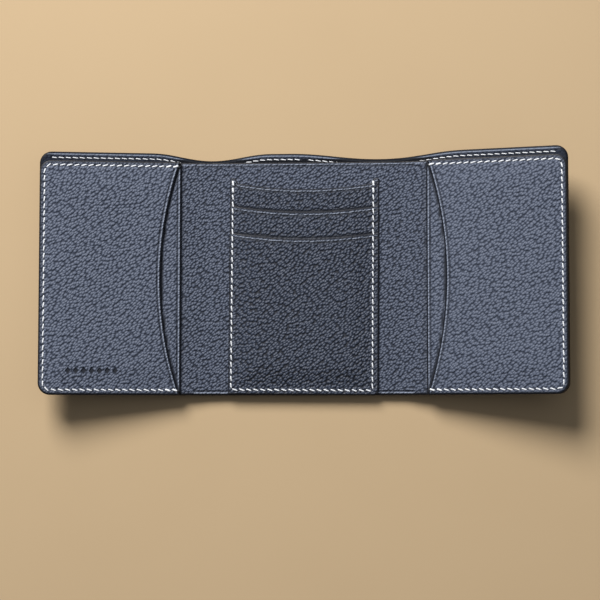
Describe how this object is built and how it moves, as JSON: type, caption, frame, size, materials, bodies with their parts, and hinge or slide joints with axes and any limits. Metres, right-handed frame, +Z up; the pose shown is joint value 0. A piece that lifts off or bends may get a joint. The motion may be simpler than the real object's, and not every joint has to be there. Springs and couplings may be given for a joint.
{
  "type": "trifold wallet",
  "caption": "Trifold leather wallet lying open, with three card slots in the middle, layered pockets on both leaves and a full-length bill compartment that opens along the top.",
  "frame": {"origin": "under the middle of the open wallet, at the height of its underside", "axes": "+X along the open wallet from the left leaf to the right leaf, +Y towards the mouth of the bill compartment, +Z up from the shell to the card slots"},
  "size_m": [0.2198, 0.1018, 0.0231],
  "materials": {
    "shell_leather": "navy-grey pebbled leather, satin, with dark painted edges",
    "lining_leather": "navy-grey lining leather, finely grained, matt to satin",
    "divider_leather": "navy-grey pebbled leather, satin",
    "pocket_leather": "navy-grey pebbled leather, satin, with a creased line along the pocket's mouth",
    "card_slot_leather": "navy-grey pebbled leather, satin, with a creased line along the slot's mouth",
    "thread": "waxed white thread, twisted"
  },
  "bodies": {
    "centre": {"shell_centre": "shell_leather", "shell_lining_centre": "lining_leather", "divider_centre": "divider_leather", "rim_thread_centre": "thread", "card_slot_first": "card_slot_leather", "card_slot_second": "card_slot_leather", "card_slot_front": "card_slot_leather", "card_slot_seam_thread": "thread", "card_slot_first_foot_thread": "thread", "card_slot_second_foot_thread": "thread"},
    "left_fold_inner": {"shell_left_fold_inner": "shell_leather", "shell_lining_left_fold_inner": "lining_leather", "divider_left_fold_inner": "divider_leather", "rim_thread_left_fold_inner": "thread"},
    "left_fold_outer": {"shell_left_fold_outer": "shell_leather", "shell_lining_left_fold_outer": "lining_leather", "divider_left_fold_outer": "divider_leather", "rim_thread_left_fold_outer": "thread"},
    "left_leaf": {"shell_left_leaf": "shell_leather", "shell_lining_left_leaf": "lining_leather", "divider_left_leaf": "divider_leather", "rim_thread_left_leaf": "thread", "left_rear_pocket": "pocket_leather", "left_front_pocket": "pocket_leather", "left_leaf_seam_thread": "thread"},
    "right_fold_inner": {"shell_right_fold_inner": "shell_leather", "shell_lining_right_fold_inner": "lining_leather", "divider_right_fold_inner": "divider_leather", "rim_thread_right_fold_inner": "thread"},
    "right_fold_outer": {"shell_right_fold_outer": "shell_leather", "shell_lining_right_fold_outer": "lining_leather", "divider_right_fold_outer": "divider_leather", "rim_thread_right_fold_outer": "thread"},
    "right_leaf": {"shell_right_leaf": "shell_leather", "shell_lining_right_leaf": "lining_leather", "divider_right_leaf": "divider_leather", "rim_thread_right_leaf": "thread", "right_rear_pocket": "pocket_leather", "right_front_pocket": "pocket_leather", "right_leaf_seam_thread": "thread"}
  },
  "joints": [
    {"name": "left_leaf_fold", "type": "hinge", "parent": "centre", "child": "left_fold_inner", "pos_m": [-0.0312, 0, 0.00365], "axis": [0, 1, 0], "range_deg": [-2.47, 39.81]},
    {"name": "left_crease", "type": "hinge", "parent": "left_fold_inner", "child": "left_fold_outer", "pos_m": [-0.04089, 0, 0.00407], "axis": [0, 1, 0], "range_deg": [-5.58, 89.89]},
    {"name": "left_leaf_bend", "type": "hinge", "parent": "left_fold_outer", "child": "left_leaf", "pos_m": [-0.0505, 0, 0.00542], "axis": [0, 1, 0], "range_deg": [-2.47, 39.81]},
    {"name": "right_leaf_fold", "type": "hinge", "parent": "centre", "child": "right_fold_inner", "pos_m": [0.032, 0, 0.00365], "axis": [0, -1, 0], "range_deg": [-1.56, 17.86]},
    {"name": "right_crease", "type": "hinge", "parent": "right_fold_inner", "child": "right_fold_outer", "pos_m": [0.0417, 0, 0.00392], "axis": [0, -1, 0], "range_deg": [-11.38, 129.8]},
    {"name": "right_leaf_bend", "type": "hinge", "parent": "right_fold_outer", "child": "right_leaf", "pos_m": [0.05115, 0, 0.00609], "axis": [0, -1, 0], "range_deg": [-1.57, 17.86]}
  ],
  "couplings": [
    {"joint": "left_crease", "follows": "left_leaf_fold", "ratio": 2.2579},
    {"joint": "left_leaf_bend", "follows": "left_leaf_fold", "ratio": 1},
    {"joint": "right_crease", "follows": "right_leaf_fold", "ratio": 7.2693},
    {"joint": "right_leaf_bend", "follows": "right_leaf_fold", "ratio": 1}
  ]
}
